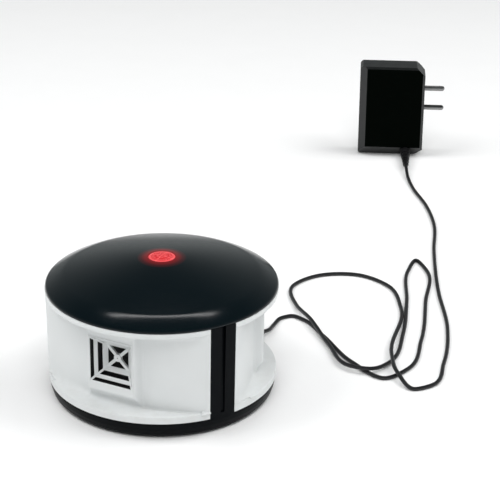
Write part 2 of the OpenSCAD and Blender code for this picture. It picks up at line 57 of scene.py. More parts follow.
CORD_RADIUS = 1.5
LAY_TURN = math.radians(30)
PLUG_AZIMUTH, PLUG_END, PLUG_HEIGHT = math.radians(163 - 30), 103.6, 6.0
ADAPTER_AT = np.array([188.3, 458.7, 0.0])
ADAPTER_TURN = math.radians(-6)
RELIEF_AT, RELIEF_LENGTH = np.array([45.0, 0.0, 5.6]), 34.0


def turn_flat(points, angle):
    """Turn points about the upright axis."""
    c, s = math.cos(angle), math.sin(angle)
    return np.asarray(points) @ np.array([[c, s, 0], [-s, c, 0], [0, 0, 1]])


# ---------------------------------------------------------------- camera

VIEW_AZIMUTH, VIEW_ELEVATION = degrees(30, 26.43)
AIM = Vector((0, 0, 0.04))
DISTANCE = 1.28
PAN, TILT, ROLL = degrees(-2.813, 2.655, 0.715)
LENS = 129.4


def make_camera():
    """Stand at DISTANCE from AIM, then pan about the up line, tilt about the right one and roll."""
    sight = Vector((0, math.cos(VIEW_ELEVATION), -math.sin(VIEW_ELEVATION)))
    place = AIM - DISTANCE * sight
    right = Vector((1, 0, 0))
    up = right.cross(sight)
    pan = Matrix.Rotation(PAN, 3, up)
    sight, right = pan @ sight, pan @ right
    tilt = Matrix.Rotation(TILT, 3, right)
    sight, up = tilt @ sight, tilt @ up
    roll = Matrix.Rotation(ROLL, 3, sight)
    right, up = roll @ right, roll @ up
    turn = Matrix.Rotation(VIEW_AZIMUTH, 3, "Z")
    data = bpy.data.cameras.new("camera")
    data.lens, data.sensor_width = LENS, 36
    data.clip_start, data.clip_end = 0.05, 50
    camera = bpy.data.objects.new("camera", data)
    bpy.context.scene.collection.objects.link(camera)
    axes = Matrix([turn @ right, turn @ up, turn @ -sight]).transposed()
    camera.matrix_world = Matrix.Translation(turn @ place) @ axes.to_4x4()
    bpy.context.scene.camera = camera


make_camera()

# ---------------------------------------------------------------- materials


class Wire:
    """A node's output. Sums, differences and products of wires and numbers add Math nodes."""

    def __init__(self, finish, socket):
        self.finish, self.socket = finish, socket

    def math(self, operation, a, b):
        return self.finish.node("ShaderNodeMath", {"operation": operation}, {0: a, 1: b})

    def __add__(self, other):
        return self.math("ADD", self, other)

    def __sub__(self, other):
        return self.math("SUBTRACT", self, other)

    def __rsub__(self, other):
        return self.math("SUBTRACT", other, self)

    def __mul__(self, other):
        return self.math("MULTIPLY", self, other)

    __radd__, __rmul__ = __add__, __mul__


class Finish:
    """One material. node() adds any node; surface() fills in the shader that shows."""

    def __init__(self, name):
        self.material = bpy.data.materials.new(name)
        self.material.use_nodes = True
        self.tree = self.material.node_tree
        self.shader = self.tree.nodes["Principled BSDF"]
        self.place = self.node("ShaderNodeTexCoord", output="Object")

    def put(self, socket, value):
        if isinstance(value, Wire):
            self.tree.links.new(value.socket, socket)
        elif socket.type == "RGBA" and len(value) == 3:
            socket.default_value = (*value, 1)
        else:
            socket.default_value = value

    def node(self, kind, settings=None, sockets=None, output=0):
        made = self.tree.nodes.new(kind)
        for name, value in (settings or {}).items():
            if name == "stops":
                marks = made.color_ramp.elements
                marks[0].position, marks[-1].position = value[0][0], value[-1][0]
                for at, level in value[1:-1]:
                    marks.new(at)
                for mark, (at, level) in zip(marks, value):
                    mark.color = (level, level, level, 1)
            else:
                setattr(made, name, value)
        for name, value in (sockets or {}).items():
            self.put(made.inputs[name], value)
        return Wire(self, made.outputs[output])

    def noise(self, size, detail=2.0, stretch=(1, 1, 1)):
        """Soft random value from 0 to 1 with lumps of about size millimetres."""
        scaled = self.node("ShaderNodeMapping", {}, {"Vector": self.place, "Scale": stretch})
        return self.node("ShaderNodeTexNoise", {}, {
            "Vector": scaled, "Scale": 1 / (size * MM), "Detail": detail})

    def ramp(self, value, *stops):
        """value sent through straight lines between (position, level) stops."""
        return self.node("ShaderNodeValToRGB", {"stops": stops}, {"Fac": value})

    def blend(self, amount, first, second):
        """Colour that goes from first to second as amount goes from 0 to 1."""
        return self.node("ShaderNodeMix", {"data_type": "RGBA"}, {
            0: amount, 6: first, 7: second}, 2)

    def radius(self):
        """Distance from the drum's upright axis, in metres."""
        flat = self.node("ShaderNodeVectorMath", {"operation": "MULTIPLY"}, {
            0: self.place, 1: (1, 1, 0)})
        return self.node("ShaderNodeVectorMath", {"operation": "LENGTH"}, {0: flat}, "Value")

    def axis(self, name):
        return self.node("ShaderNodeSeparateXYZ", {}, {0: self.place}, name)

    def bump(self, height, depth_mm):
        return self.node("ShaderNodeBump", {}, {"Height": height, "Distance": depth_mm * MM})

    def surface(self, **sockets):
        for name, value in sockets.items():
            self.put(self.shader.inputs[name.replace("_", " ")], value)
        return self.material


def moulded(name, colour, gloss, grain_mm, grain_depth, shade, **more):
    """Injection-moulded plastic: faint flow shading, spark-eroded grain and uneven gloss."""
    finish = Finish(name)
    flow = finish.noise(28, 3)
    grain = finish.noise(grain_mm, 2)
    wear = finish.noise(6, 4)
    low = [c * (1 - shade) for c in colour]
    high = [c * (1 + shade) for c in colour]
    rough = gloss + (wear - 0.5) * 0.12 + (grain - 0.5) * 0.08
    return finish.surface(
        Base_Color=finish.blend(flow, low, high), Roughness=rough,
        Normal=finish.bump(grain, grain_depth), **more)


def white_plastic():
    """Semi-gloss white moulding, greyed in blotches on the ledge and low on the wall: painted shade
    at the foot of the recess.
    """
    finish = Finish("white_moulding")
    flow = finish.noise(30, 3)
    fine = finish.noise(0.9, 2)
    unshaded_tone = finish.blend(flow, (0.70, 0.722, 0.725), (0.75, 0.765, 0.765))
    low_down = finish.ramp(finish.axis("Z") * 10, (0.17, 1.0), (0.24, 0.0))
    # painted shade: grey blotches on the ledge and the wall's foot, where the recess lies in shade
    foot_shade = low_down * finish.ramp(finish.noise(7, 4), (0.4, 0.0), (0.75, 1.0))
    return finish.surface(
        Base_Color=finish.blend(foot_shade * 0.35, unshaded_tone, (0.6, 0.6, 0.58)),
        Roughness=0.36 + (flow - 0.5) * 0.08 + (fine - 0.5) * 0.06,
        Normal=finish.bump(fine, 0.012))


LENS_RADIUS, HALO_RADIUS = 9.5, 17.5


def lid_plastic():
    """Black satin moulding; red light from the lens is painted onto it as a glow that fades
    outwards.
    """
    finish = Finish("lid_moulding")
    flow = finish.noise(34, 3)
    grain = finish.noise(0.55, 2)
    wear = finish.noise(5, 4)
    out = finish.radius() * (1 / (HALO_RADIUS * MM))
    # painted glow: the lid itself emits red near the lens, standing in for the lens's light
    spill = finish.ramp(out, (0.5, 1.0), (0.66, 0.7), (0.82, 0.22), (1.0, 0.0))
    scratch = finish.ramp(finish.noise(3, 5, (1, 9, 1)), (0.6, 0.0), (0.78, 1.0))
    return finish.surface(
        Base_Color=finish.blend(flow, (0.0015, 0.0048, 0.0065), (0.0025, 0.006, 0.008)),
        Specular_IOR_Level=0.3,
        Roughness=0.16 + (wear - 0.5) * 0.06 + (grain - 0.5) * 0.05 + scratch * 0.04,
        Normal=finish.bump(grain, 0.008),
        Emission_Color=finish.blend(spill, (0, 0, 0), (0.3, 0.004, 0.005)),
        Emission_Strength=0.75)


def lit_lens():
    """Red lens lit from below: a pale rim and arms, and darker rings between them."""
    finish = Finish("red_lens_lit")
    out = finish.radius() * (1 / (LENS_RADIUS * MM))
    wave = finish.node("ShaderNodeMath", {"operation": "SINE"}, {0: out * 19.0 + 2.0})
    rings = (wave * 0.5 + 0.5) * finish.ramp(out, (0.1, 1.0), (0.7, 0.8), (0.78, 0.0))
    rim = finish.ramp(out, (0.72, 0.0), (0.84, 0.8), (0.93, 1.0), (0.99, 0.3))
    east, north = (finish.node("ShaderNodeMath", {"operation": "ABSOLUTE"}, {
        0: finish.axis(way)}) for way in "XY")
    nearest = finish.node("ShaderNodeMath", {"operation": "MINIMUM"}, {0: east, 1: north})
    arms = finish.ramp(nearest * 1000, (0.3, 1.0), (0.8, 0.0))
    speckle = finish.noise(0.9, 3)
    bright = rings * 0.45 + rim * 0.75 + arms * 0.35 + (speckle - 0.5) * 0.4
    return finish.surface(
        Base_Color=(0.3, 0.005, 0.008), Roughness=0.2 + speckle * 0.12,
        Emission_Color=finish.blend(bright, (0.38, 0.008, 0.012), (0.88, 0.17, 0.18)),
        Emission_Strength=0.8, Normal=finish.bump(speckle, 0.03))


def adapter_plastic():
    """Adapter housing, a shaded and a lit copy of one moulding: a deep matt black grain, near black
    and almost without reflection, on the near face (painted shade), and glossier, paler bevels and
    corners (painted sheen), found by how far the surface lies behind the near face's plane."""
    finish = Finish("adapter_moulding")
    turn = LAY_TURN + ADAPTER_TURN
    out = Vector((math.sin(turn), -math.cos(turn), 0))
    corner = turn_flat(ADAPTER_AT, LAY_TURN) * MM
    along = finish.node("ShaderNodeVectorMath", {"operation": "DOT_PRODUCT"}, {
        0: finish.place, 1: out}, "Value")
    behind = 1000 * (float(np.dot(corner, out)) - along)
    # painted light: 0 on the near face, which is kept dark, and 1 behind it, where the bevels are
    # given sheen
    bevel_sheen_mask = finish.ramp(behind * 0.1, (0.004, 0.0), (0.03, 1.0))
    relief = finish.bump(finish.noise(0.7, 2), 0.012)
    wear = finish.noise(9, 4)
    sheen_bevels = finish.node("ShaderNodeBsdfPrincipled", {}, {
        "Base Color": finish.blend(wear, (0.002, 0.003, 0.003), (0.004, 0.005, 0.005)),
        "Roughness": 0.3 + wear * 0.15, "Specular IOR Level": 0.5, "Normal": relief})
    finish.surface(
        Base_Color=finish.blend(wear, (0.0006, 0.0014, 0.0008), (0.0012, 0.002, 0.0014)),
        Roughness=0.6 + wear * 0.1, Specular_IOR_Level=0.01, Normal=relief)
    shaded_face = Wire(finish, finish.shader.outputs[0])
    both = finish.node("ShaderNodeMixShader", {}, {0: bevel_sheen_mask, 1: shaded_face, 2: sheen_bevels})
    finish.put(finish.tree.nodes["Material Output"].inputs[0], both)
    return finish.material


def metal(name, colour, gloss, stretch):
    """Plated metal drawn in one direction: streaks in gloss and height along the work."""
    finish = Finish(name)
    streaks = finish.noise(0.5, 3, stretch)
    tarnish = finish.noise(3, 4)
    dull = [c * 0.78 for c in colour]
    return finish.surface(
        Base_Color=finish.blend(tarnish, dull, colour), Metallic=1.0,
        Roughness=gloss + (streaks - 0.5) * 0.2, Normal=finish.bump(streaks, 0.01))


def vinyl():
    """Soft black cord jacket: slightly blotchy, with a fine matt bloom."""
    finish = Finish("cord_vinyl")
    bloom = finish.noise(4, 4)
    fine = finish.noise(0.5, 2)
    return finish.surface(
        Base_Color=finish.blend(bloom, (0.006, 0.006, 0.007), (0.014, 0.014, 0.015)),
        Roughness=0.4 + (bloom - 0.5) * 0.2, Normal=finish.bump(fine, 0.02))


def rubber(name, colour):
    """Matt rubber with a chalky bloom and fine pits."""
    finish = Finish(name)
    bloom = finish.noise(3, 4)
    pits = finish.noise(0.4, 2)
    pale = [c * 1.5 + 0.01 for c in colour]
    return finish.surface(
        Base_Color=finish.blend(bloom, colour, pale), Roughness=0.75 + (pits - 0.5) * 0.2,
        Normal=finish.bump(pits, 0.04))


def circuit_laminate(name, mask_colour, track_colour):
    """Board with etched tracks under the lacquer: lines where two stretched noises cross over."""
    finish = Finish(name)
    across = finish.noise(9, 1, (1, 0.25, 1))
    along = finish.noise(9, 1, (0.25, 1, 1))
    tracks = finish.ramp(across, (0.47, 0.0), (0.49, 1.0), (0.51, 1.0), (0.53, 0.0))
    second = finish.ramp(along, (0.47, 0.0), (0.49, 1.0), (0.51, 1.0), (0.53, 0.0))
    copper = finish.node("ShaderNodeMath", {"operation": "MAXIMUM"}, {0: tracks, 1: second})
    return finish.surface(
        Base_Color=finish.blend(copper * 0.7, mask_colour, track_colour),
        Roughness=0.35 + finish.noise(2, 3) * 0.15, Normal=finish.bump(copper, 0.035))


def windings():
    """Enamelled wire: fine ridges wound round the upright."""
    finish = Finish("enamelled_wire")
    ridges = finish.node("ShaderNodeTexWave", {"bands_direction": "Z"}, {
        "Vector": finish.place, "Scale": 420.0, "Distortion": 0.3, "Detail": 1.0})
    patches = finish.noise(4, 3)
    return finish.surface(
        Base_Color=finish.blend(patches, (0.45, 0.2, 0.06), (0.66, 0.36, 0.14)),
        Metallic=0.7, Roughness=0.3 + patches * 0.15, Normal=finish.bump(ridges, 0.15))


def laminations():
    """Stacked iron sheets under varnish: thin parallel lines and rust blooms."""
    finish = Finish("varnished_iron")
    sheets = finish.node("ShaderNodeTexWave", {"bands_direction": "Y"}, {
        "Vector": finish.place, "Scale": 500.0, "Distortion": 0.2, "Detail": 1.0})
    rust = finish.ramp(finish.noise(4, 5), (0.5, 0.0), (0.75, 1.0))
    return finish.surface(
        Base_Color=finish.blend(rust * 0.5, (0.16, 0.16, 0.17), (0.25, 0.13, 0.07)),
        Metallic=0.6, Roughness=0.42 + rust * 0.2, Normal=finish.bump(sheets, 0.08))


def felt():
    """Thin black felt: short matted fibres."""
    finish = Finish("black_felt")
    fibres = finish.noise(0.35, 4, (1, 1, 3))
    return finish.surface(
        Base_Color=finish.blend(fibres, (0.006, 0.006, 0.006), (0.016, 0.016, 0.017)),
        Roughness=0.95, Normal=finish.bump(fibres, 0.12))


def cone_paper():
    """Pressed paper cone: pulp mottling and faint pressed rings."""
    finish = Finish("pressed_paper")
    pulp = finish.noise(1.2, 5)
    return finish.surface(
        Base_Color=finish.blend(pulp, (0.012, 0.012, 0.012), (0.028, 0.027, 0.026)),
        Roughness=0.85, Normal=finish.bump(pulp, 0.1))


FINISHES = {
    "black_plastic": moulded("black_moulding", (0.0012, 0.002, 0.003), 0.42, 0.55, 0.01, 0.15,
                             Specular_IOR_Level=0.07),
    "adapter_plastic": adapter_plastic(),
    "dark_plastic": moulded("dark_moulding", (0.02, 0.02, 0.022), 0.55, 0.6, 0.015, 0.15),
    "capacitor_blue": moulded("capacitor_sleeve", (0.02, 0.035, 0.13), 0.25, 2.0, 0.01, 0.2),
    "resistor_tan": moulded("resistor_lacquer", (0.5, 0.36, 0.2), 0.4, 0.8, 0.02, 0.2),
    "lead_red": moulded("lead_insulation", (0.4, 0.02, 0.02), 0.45, 1.0, 0.01, 0.15),
    "led_red": moulded("led_epoxy", (0.6, 0.02, 0.02), 0.1, 2.0, 0.004, 0.15,
                       Emission_Color=(1.0, 0.04, 0.04, 1), Emission_Strength=1.5),
    "white_plastic": white_plastic(),
    "red_lens": lit_lens(),
    "foot_rubber": rubber("foot_rubber", (0.02, 0.02, 0.02)),
    "cord_rubber": vinyl(),
    "felt_black": felt(),
    "cone_paper": cone_paper(),
    "screw_steel": metal("zinc_plate", (0.62, 0.62, 0.64), 0.32, (1, 1, 0.1)),
    "pin_nickel": metal("nickel_plate", (0.3, 0.3, 0.3), 0.34, (0.15, 1, 1)),
    "brass": metal("rolled_brass", (0.72, 0.53, 0.24), 0.3, (1, 0.1, 1)),
    "board_green": circuit_laminate("green_board", (0.015, 0.13, 0.045), (0.1, 0.3, 0.08)),
    "board_tan": circuit_laminate("tan_board", (0.34, 0.2, 0.08), (0.5, 0.42, 0.25)),
    "core_iron": laminations(),
    "coil_copper": windings(),
}
LID_FINISH = lid_plastic()

for part in frame["record"]["subparts"]:
    for socket in frame["nodes"][part["node"]].material_slots:
        socket.material = FINISHES[part["material_slot"]]

# ---------------------------------------------------------------- mesh helpers


def cells(rows, columns, close_rows=False, close_columns=False):
    """Quads of a grid of points numbered row by row, wrapped where it is closed."""
    i = np.arange(rows if close_rows else rows - 1)[:, None]
    j = np.arange(columns if close_columns else columns - 1)[None, :]
    up, over = (i + 1) % rows, (j + 1) % columns
    corners = [i * columns + j, i * columns + over, up * columns + over, up * columns + j]
    return np.stack(np.broadcast_arrays(*corners), -1).reshape(-1, 4)


def piece(name, points, faces, slot, finish, nodes, sharp_above=38):
    """Make a piece that rides with the body and stands for CAD nodes. A negative volume means
    that its faces point inwards, so they are turned over."""
    points = np.asarray(points, float).reshape(-1, 3)
    faces = [np.asarray(f, int).reshape(-1, f.shape[-1]) for f in faces]
    volume = 0.0
    for f in faces:
        a, b, c = (points[f[:, k]] for k in (0, 1, 2))
        volume += np.einsum("ij,ij->i", a, np.cross(b, c)).sum()
        if f.shape[1] == 4:
            d = points[f[:, 3]]
            volume += np.einsum("ij,ij->i", a, np.cross(c, d)).sum()
    if volume < 0:
        faces = [f[:, ::-1] for f in faces]
    mesh = bpy.data.meshes.new(name)
    mesh.from_pydata((points * MM).tolist(), [], [q for f in faces for q in f.tolist()])
    mesh.validate()
    mesh.polygons.foreach_set("use_smooth", np.ones(len(mesh.polygons), bool))
    mesh.set_sharp_from_angle(angle=math.radians(sharp_above))
    mesh.materials.append(finish)
    made = bpy.data.objects.new(name, mesh)
    bpy.context.scene.collection.objects.link(made)
    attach(made, "root")
    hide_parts(*nodes)
    return made


def turned_ring(profile, steps=256):
    """A closed outline of (radius, height) points carried round the upright axis."""
    turn = np.linspace(0, 2 * np.pi, steps, endpoint=False)[:, None]
    r, z = profile[:, 0][None, :], profile[:, 1][None, :]
    points = np.stack(np.broadcast_arrays(r * np.cos(turn), r * np.sin(turn), z), -1)
    return points, [cells(steps, len(profile), True, True)]


def capped_turning(profile, steps=128):
    """An open outline of (radius, height) points, from axis to axis, carried round the axis.
    The two end points become single poles."""
    ring, (quads,) = turned_ring(profile[1:-1], steps)
    count = len(profile) - 2
    quads = quads.reshape(steps, count, 4)[:, :-1].reshape(-1, 4)
    first, last = steps * count, steps * count + 1
    at = np.arange(steps)
    after = (at + 1) % steps
    low = np.stack([np.full(steps, first), after * count, at * count], -1)
    high = np.stack([np.full(steps, last), at * count + count - 1, after * count + count - 1], -1)
    poles = [[0, 0, profile[0, 1]], [0, 0, profile[-1, 1]]]
    return np.vstack([ring.reshape(-1, 3), poles]), [quads, low, high]


def arc(centre, radius, start, end, count):
    """Points round a centre, from one angle to another in degrees."""
    angle = np.radians(np.linspace(start, end, count))
    return np.stack([centre[0] + radius * np.cos(angle), centre[1] + radius * np.sin(angle)], -1)


# ---------------------------------------------------------------- cord

# out of the drum, along its loops and on to the adapter, in metres: on the floor the middle
# of the cord is one radius up, and where it climbs over itself it is higher
LAY = np.array([
    [.080, .0765, .0045], [.085, .090, .0020], [.0925, .104, .0015], [.101, .107, .0015],
    [.108, .101, .0015], [.122, .071, .0015], [.139, .028, .0015], [.161, .002, .0015],
    [.180, .017, .0015], [.195, .061, .0015], [.208, .130, .0015], [.217, .190, .0015],
    [.211, .210, .0015], [.202, .190, .0015], [.193, .130, .0015], [.183, .074, .0015],
    [.168, .028, .0015], [.151, .011, .0047], [.137, .017, .0040], [.124, .056, .0030],
    [.1135, .095, .0049], [.105, .125, .0025], [.105, .162, .0015], [.128, .182, .0015],
    [.160, .182, .0015], [.182, .160, .0015], [.187, .120, .0015], [.169, .032, .0047],
    [.170, .004, .0047], [.179, -.015, .0015], [.193, -.010, .0015], [.207, .025, .0015],
    [.218, .080, .0015], [.221, .150, .0015], [.229, .230, .0015], [.237, .285, .0015],
    [.236, .330, .0015], [.230, .370, .0015], [.2285, .396, .0025],
]) / MM
END_GUIDE, SPAN_STEPS = 30, 10


def smooth_route(points, before, after, steps):
    """Cubic spans through points; each slope is the mean of its two neighbours' slopes, the
    nearer one counting more. before and after are the points past the two ends."""
    full = np.vstack([before, points, after])
    part = np.diff(full, axis=0)
    gap = np.linalg.norm(part, axis=1, keepdims=True)
    slope = (part[:-1] * gap[1:] / gap[:-1] + part[1:] * gap[:-1] / gap[1:])
    slope /= gap[:-1] + gap[1:]
    t = (np.arange(steps) / steps)[None, :, None]
    p, q = points[:-1, None], points[1:, None]
    span = gap[1:-1][:, None]
    m, n = slope[:-1, None] * span, slope[1:, None] * span
    line = p * (2 * t**3 - 3 * t**2 + 1) + m * (t**3 - 2 * t**2 + t)
    line = line + q * (3 * t**2 - 2 * t**3) + n * (t**3 - t**2)
    return np.vstack([line.reshape(-1, 3), points[-1:]])


def cord_line():
    """The cord's centre line, from the end of the plug's relief to the adapter's relief. A point
    END_GUIDE back from each end sets the way it leaves, and nothing dips into the floor."""
    out = np.array([math.sin(PLUG_AZIMUTH), -math.cos(PLUG_AZIMUTH), 0])
    away = turn_flat([0, -1, 0], ADAPTER_TURN)
    start = out * PLUG_END + [0, 0, PLUG_HEIGHT]
    end = ADAPTER_AT + turn_flat(RELIEF_AT, ADAPTER_TURN) + away * RELIEF_LENGTH
    points = np.vstack([start, LAY, end])
    line = smooth_route(points, start - END_GUIDE * out, end - END_GUIDE * away, SPAN_STEPS)
    line[:, 2] = np.maximum(line[:, 2], CORD_RADIUS)
    return turn_flat(line, LAY_TURN)


def tube(line, radius, sides=20):
    """A circle carried along a line, square to it, with its ends closed to single points."""
    ahead = np.gradient(line, axis=0)
    ahead /= np.linalg.norm(ahead, axis=1, keepdims=True)
    side = np.cross(ahead, [0, 0, 1])
    side /= np.linalg.norm(side, axis=1, keepdims=True)
    over = np.cross(side, ahead)
    turn = np.linspace(0, 2 * np.pi, sides, endpoint=False)[None, :, None]
    ring = np.cos(turn) * side[:, None] + np.sin(turn) * over[:, None]
    points = (line[:, None] + radius * ring).reshape(-1, 3)
    rows = len(line)
    at = np.arange(sides)
    after = (at + 1) % sides
    first, last = rows * sides, rows * sides + 1
    low = np.stack([np.full(sides, first), after, at], -1)
    high = np.stack([np.full(sides, last), last - 1 - sides + at, last - 1 - sides + after], -1)
    return np.vstack([points, line[:1], line[-1:]]), [cells(rows, sides, False, True), low, high]


line = cord_line()
cord = piece("lead_cord", *tube(line, CORD_RADIUS), "cord_rubber", FINISHES["cord_rubber"],
             ["cord"])

# ---------------------------------------------------------------- lid and lens

LID_R, WALL_TOP, DOME_TOP = 81.9, 80.5, 101.5
SHOULDER_R, SHOULDER_Z = 68.8, 88.8
DOME_POWER, LID_THICK, EDGE_R, BAND_LEAN = 1.5, 2.4, 2.8, math.radians(30)
LEAN_POWER, LID_CHAMFER, LENS_GAP = 0.5, 0.35, 0.2


def lid_outline():
    """Dome that falls as the 1.5th power of the radius, a band whose lean grows from the dome's
    own to BAND_LEAN as the square root of the way out, a rounded edge, and the same line again
    LID_THICK further in."""
    r = np.linspace(LENS_RADIUS + LENS_GAP, SHOULDER_R, 60)
    fall = DOME_TOP - SHOULDER_Z
    dome = np.stack([r, SHOULDER_Z + fall * (1 - (r / SHOULDER_R) ** DOME_POWER)], -1)
    band_r = np.linspace(SHOULDER_R, LID_R - EDGE_R * (1 - math.sin(BAND_LEAN)), 40)
    u = (band_r - SHOULDER_R) / (band_r[-1] - SHOULDER_R)
    lean = math.atan(DOME_POWER * fall / SHOULDER_R)
    lean = lean + (BAND_LEAN - lean) * u**LEAN_POWER
    drop = np.tan((lean[1:] + lean[:-1]) / 2) * np.diff(band_r)
    band = np.stack([band_r[1:], SHOULDER_Z - np.cumsum(drop)], -1)
    middle = band[-1] - EDGE_R * np.array([math.sin(BAND_LEAN), math.cos(BAND_LEAN)])
    edge = arc(middle, EDGE_R, 90 - math.degrees(BAND_LEAN), 0, 12)[1:]
    foot = [[LID_R, WALL_TOP + LID_CHAMFER], [LID_R - LID_CHAMFER, WALL_TOP]]
    outside = np.vstack([dome, band, edge, foot])
    inner_r = np.linspace(LID_R - LID_THICK, LENS_RADIUS + LENS_GAP, 50)
    inner_z = np.interp(inner_r, outside[:-2, 0], outside[:-2, 1]) - LID_THICK
    inner_z = np.maximum(inner_z, WALL_TOP)
    inside = np.stack([inner_r, inner_z], -1)
    return np.vstack([outside, inside])


piece("lid_shell", *turned_ring(lid_outline()), "black_plastic", LID_FINISH, ["lid"], 30)


LENS_DEPTH, LENS_PROUD, LENS_CROWN, LENS_RIM = 3.6, 0.1, 1.1, 0.7
LENS_RINGS, RING_DEPTH, RING_WIDTH = (3.2, 6.2), 0.35, 0.45
FLANGE_OUT, FLANGE_THICK = 2.0, 1.4


def lens_outline():
    """Flange with a flat underside, upright wall, rounded rim and a crown that falls as the
    square of the radius, cut by two rings whose sections are bell curves."""
    base = DOME_TOP - LENS_DEPTH
    r = np.linspace(0, LENS_RADIUS - 0.8, 60)
    crown = DOME_TOP + LENS_PROUD - LENS_CROWN * (r / LENS_RADIUS) ** 2
    for ring in LENS_RINGS:
        crown -= RING_DEPTH * np.exp(-(((r - ring) / RING_WIDTH) ** 2))
    rim = arc((LENS_RADIUS - LENS_RIM, crown[-1] - LENS_RIM), LENS_RIM, 0, 80, 7)
    flange = LENS_RADIUS + FLANGE_OUT
    wall = [[0, base - FLANGE_THICK], [flange, base - FLANGE_THICK], [flange, base],
            [LENS_RADIUS, base]]
    return np.vstack([wall, rim, np.stack([r, crown], -1)[::-1]])


piece("indicator_lens", *capped_turning(lens_outline()), "red_lens", FINISHES["red_lens"],
      ["lens"], 50)

# ---------------------------------------------------------------- white panels

PANEL_EDGE = 53.0
PANEL_IN, PANEL_CURVE, POD_FACE = 65.0, 145.0, 71.0
POD_HALF, POD_SLOPE, POD_FOOT = 18.6, 3.4, 27.0
OPENING, GRILLE_Z = 17.55, 49.0
LEDGE_Z, BAND_Z = 17.5, 76.6
LEDGE_R, BAND_R = 81.0, 81.9
PANEL_THICK, PANEL_FOOT, PANEL_LIP = 1.6, 12.4, 80.4
# corners of the block round the grille: how far each is rounded, and the underside's slope
UNDER_SLOPE, UNDER_BLEND, FLANK_BLEND, WALL_BLEND = 0.85, 1.6, 2.0, 2.6
# quarter rounds: out to the band, and out to the ledge, wide left of COVE_SIDE degrees
FLARE, COVE, COVE_MORE, COVE_SIDE, COVE_FADE = 6.5, 0.7, 3.8, 14, 2.0
# seam at the wall's foot, from GROOVE_FROM to GROOVE_TO degrees
GROOVE_DEPTH, GROOVE_FROM, GROOVE_TO = 0.9, 19, 44
LEDGE_ROUND, LEDGE_DIP, LIP_ROUND = 0.6, 0.25, 0.3
# columns between the opening's edge and NEAR_SIDE degrees stand close together
NEAR_SIDE = 20


def soft_most(a, b, blend):
    """The larger of two values, with the corner between them rounded over blend."""
    mix = np.clip(0.5 + 0.5 * (a - b) / blend, 0, 1)
    return b + (a - b) * mix + blend * mix * (1 - mix)


def soft_least(a, b, blend):
    return -soft_most(-a, -b, blend)


def panel_radius(turn, z):
    """Distance of the recessed wall from the axis. The wall is an arc of 145 mm radius; the
    block round the grille is a plane with steep sides and an underside that runs back, and the
    larger of the two counts. Quarter rounds carry the wall out to the ledge and the band."""
    back = PANEL_CURVE - PANEL_IN
    wall = -back * np.cos(turn) + np.sqrt(PANEL_CURVE**2 - (back * np.sin(turn)) ** 2)
    under = POD_FACE - UNDER_SLOPE * np.clip(POD_FOOT - z, 0, None)
    front = soft_least(np.full_like(z, POD_FACE), under + 0.3, UNDER_BLEND)
    lean = np.tan(np.abs(turn))
    flank = (POD_FACE + POD_SLOPE * POD_HALF) / (1 + POD_SLOPE * lean)
    block = soft_least(front, flank, FLANK_BLEND) / np.cos(turn)
    r = soft_most(wall + 0 * z, block, WALL_BLEND)
    flare = np.clip((z - (BAND_Z - FLARE)) / FLARE, 0, 1)
    r = r + (BAND_R - r) * (1 - np.sqrt(1 - flare**2))
    cove = COVE + COVE_MORE / (1 + np.exp((np.degrees(turn) - COVE_SIDE) / COVE_FADE))
    low = np.clip((LEDGE_Z + cove - z) / cove, 0, 1)
    r = r + cove * (1 - np.sqrt(1 - low**2))
    return np.minimum(r, LEDGE_R + (BAND_R - LEDGE_R) * (z - LEDGE_Z) / (BAND_Z - LEDGE_Z))


def panel_columns():
    """Angles across a panel, close together at the flanks of the block, with one column on
    each upright edge of the opening."""
    edge = math.degrees(math.atan(OPENING / POD_FACE))
    wide = np.linspace(-PANEL_EDGE, PANEL_EDGE, 108)
    near = np.linspace(edge + 0.12, NEAR_SIDE, 40)
    inner = np.linspace(-edge, edge, 33)
    wide = wide[np.abs(wide) > NEAR_SIDE + 0.4]
    return np.radians(np.sort(np.concatenate([wide, near, -near, inner]))), math.radians(edge)


